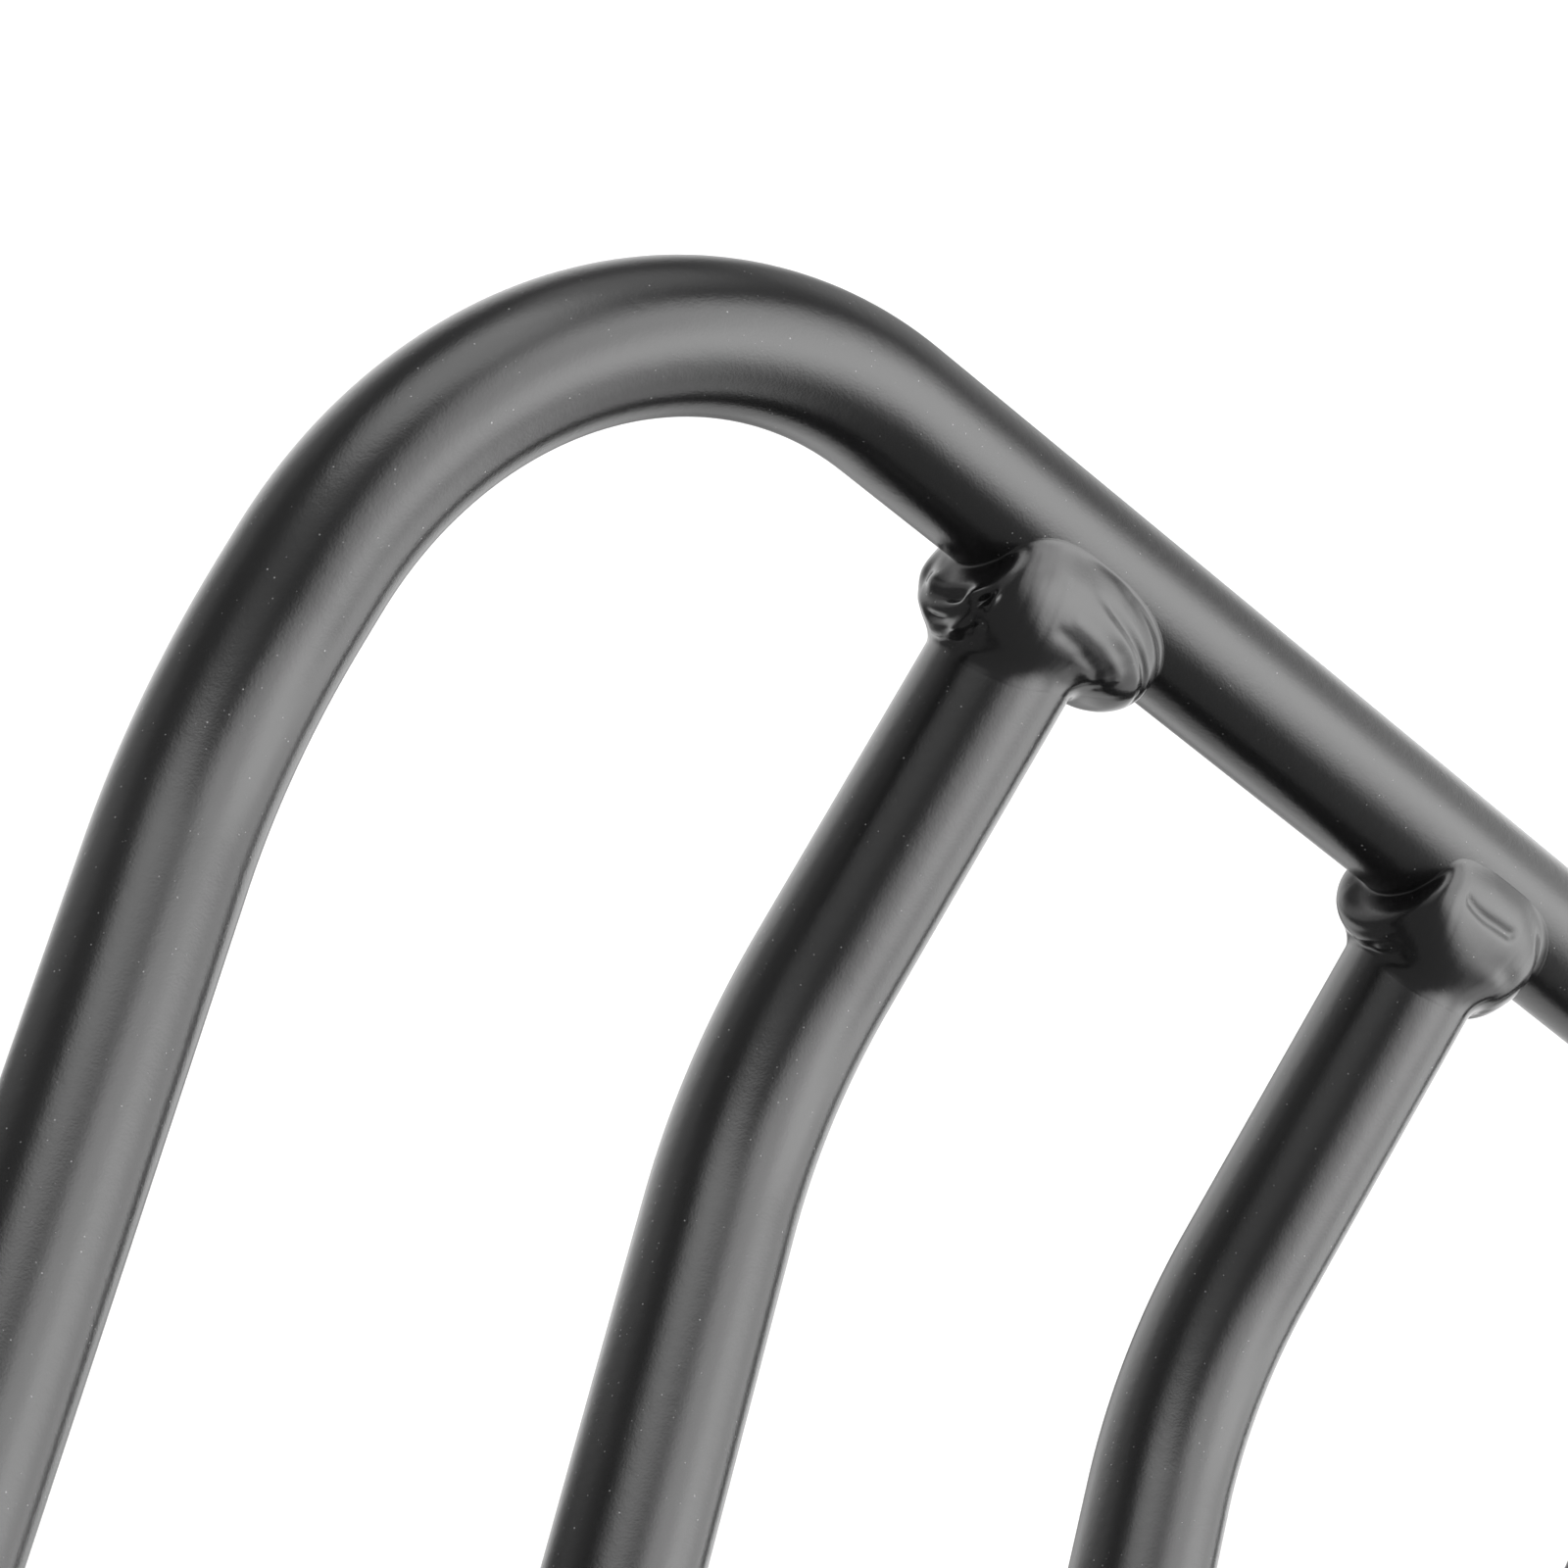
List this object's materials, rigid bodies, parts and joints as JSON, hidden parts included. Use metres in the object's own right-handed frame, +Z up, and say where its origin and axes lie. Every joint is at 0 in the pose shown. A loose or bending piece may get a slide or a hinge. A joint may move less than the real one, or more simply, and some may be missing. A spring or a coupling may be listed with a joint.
{
  "type": "folding luggage rack",
  "caption": "Tail luggage rack: a welded tube platform with a turned-up lip that folds up on a hinge over a bolted tube base.",
  "frame": {"origin": "midway between the two upper mounting holes, on the underside of the mounting tabs", "axes": "+X to the right across the rack, along the hinge; -Y to the rear, where the lip is; +Z up. Stored with the platform lying flat on its buffers"},
  "size_m": [0.3382, 0.2993, 0.2404],
  "materials": {
    "black_paint": "satin black powder coat",
    "weld_paint": "black powder coat over the weld beads, a little glossier",
    "zinc": "bright zinc plate",
    "rubber": "matte black",
    "plug_plastic": "matte black",
    "nylon": "black nylon"
  },
  "bodies": {
    "base": {"base_cross_tube": "black_paint", "base_loop": "black_paint", "hinge_ear_left": "black_paint", "hinge_ear_right": "black_paint", "mount_arm_left": "black_paint", "mount_arm_right": "black_paint", "mount_tab_left": "black_paint", "mount_tab_right": "black_paint", "lower_stay_left": "black_paint", "lower_stay_right": "black_paint", "lower_tab_left": "black_paint", "lower_tab_right": "black_paint", "arm_plugs": "plug_plastic", "stay_plugs": "plug_plastic", "pivot_rod": "zinc", "pivot_nuts": "zinc", "pivot_washers": "zinc", "rubber_buffer_left": "rubber", "rubber_buffer_right": "rubber", "buffer_screws": "zinc", "base_welds": "weld_paint"},
    "platform": {"platform_loop": "black_paint", "platform_bar_1": "black_paint", "platform_bar_2": "black_paint", "platform_bar_3": "black_paint", "platform_bar_4": "black_paint", "hinge_barrel": "black_paint", "hinge_bush_left": "nylon", "hinge_bush_right": "nylon", "stop_lug_left": "black_paint", "stop_lug_right": "black_paint", "platform_welds": "weld_paint"}
  },
  "joints": [
    {"name": "platform_fold", "type": "hinge", "parent": "base", "child": "platform", "pos_m": [0, -0.07, 0.039], "axis": [-1, 0, 0], "range_deg": [0, 100]}
  ]
}
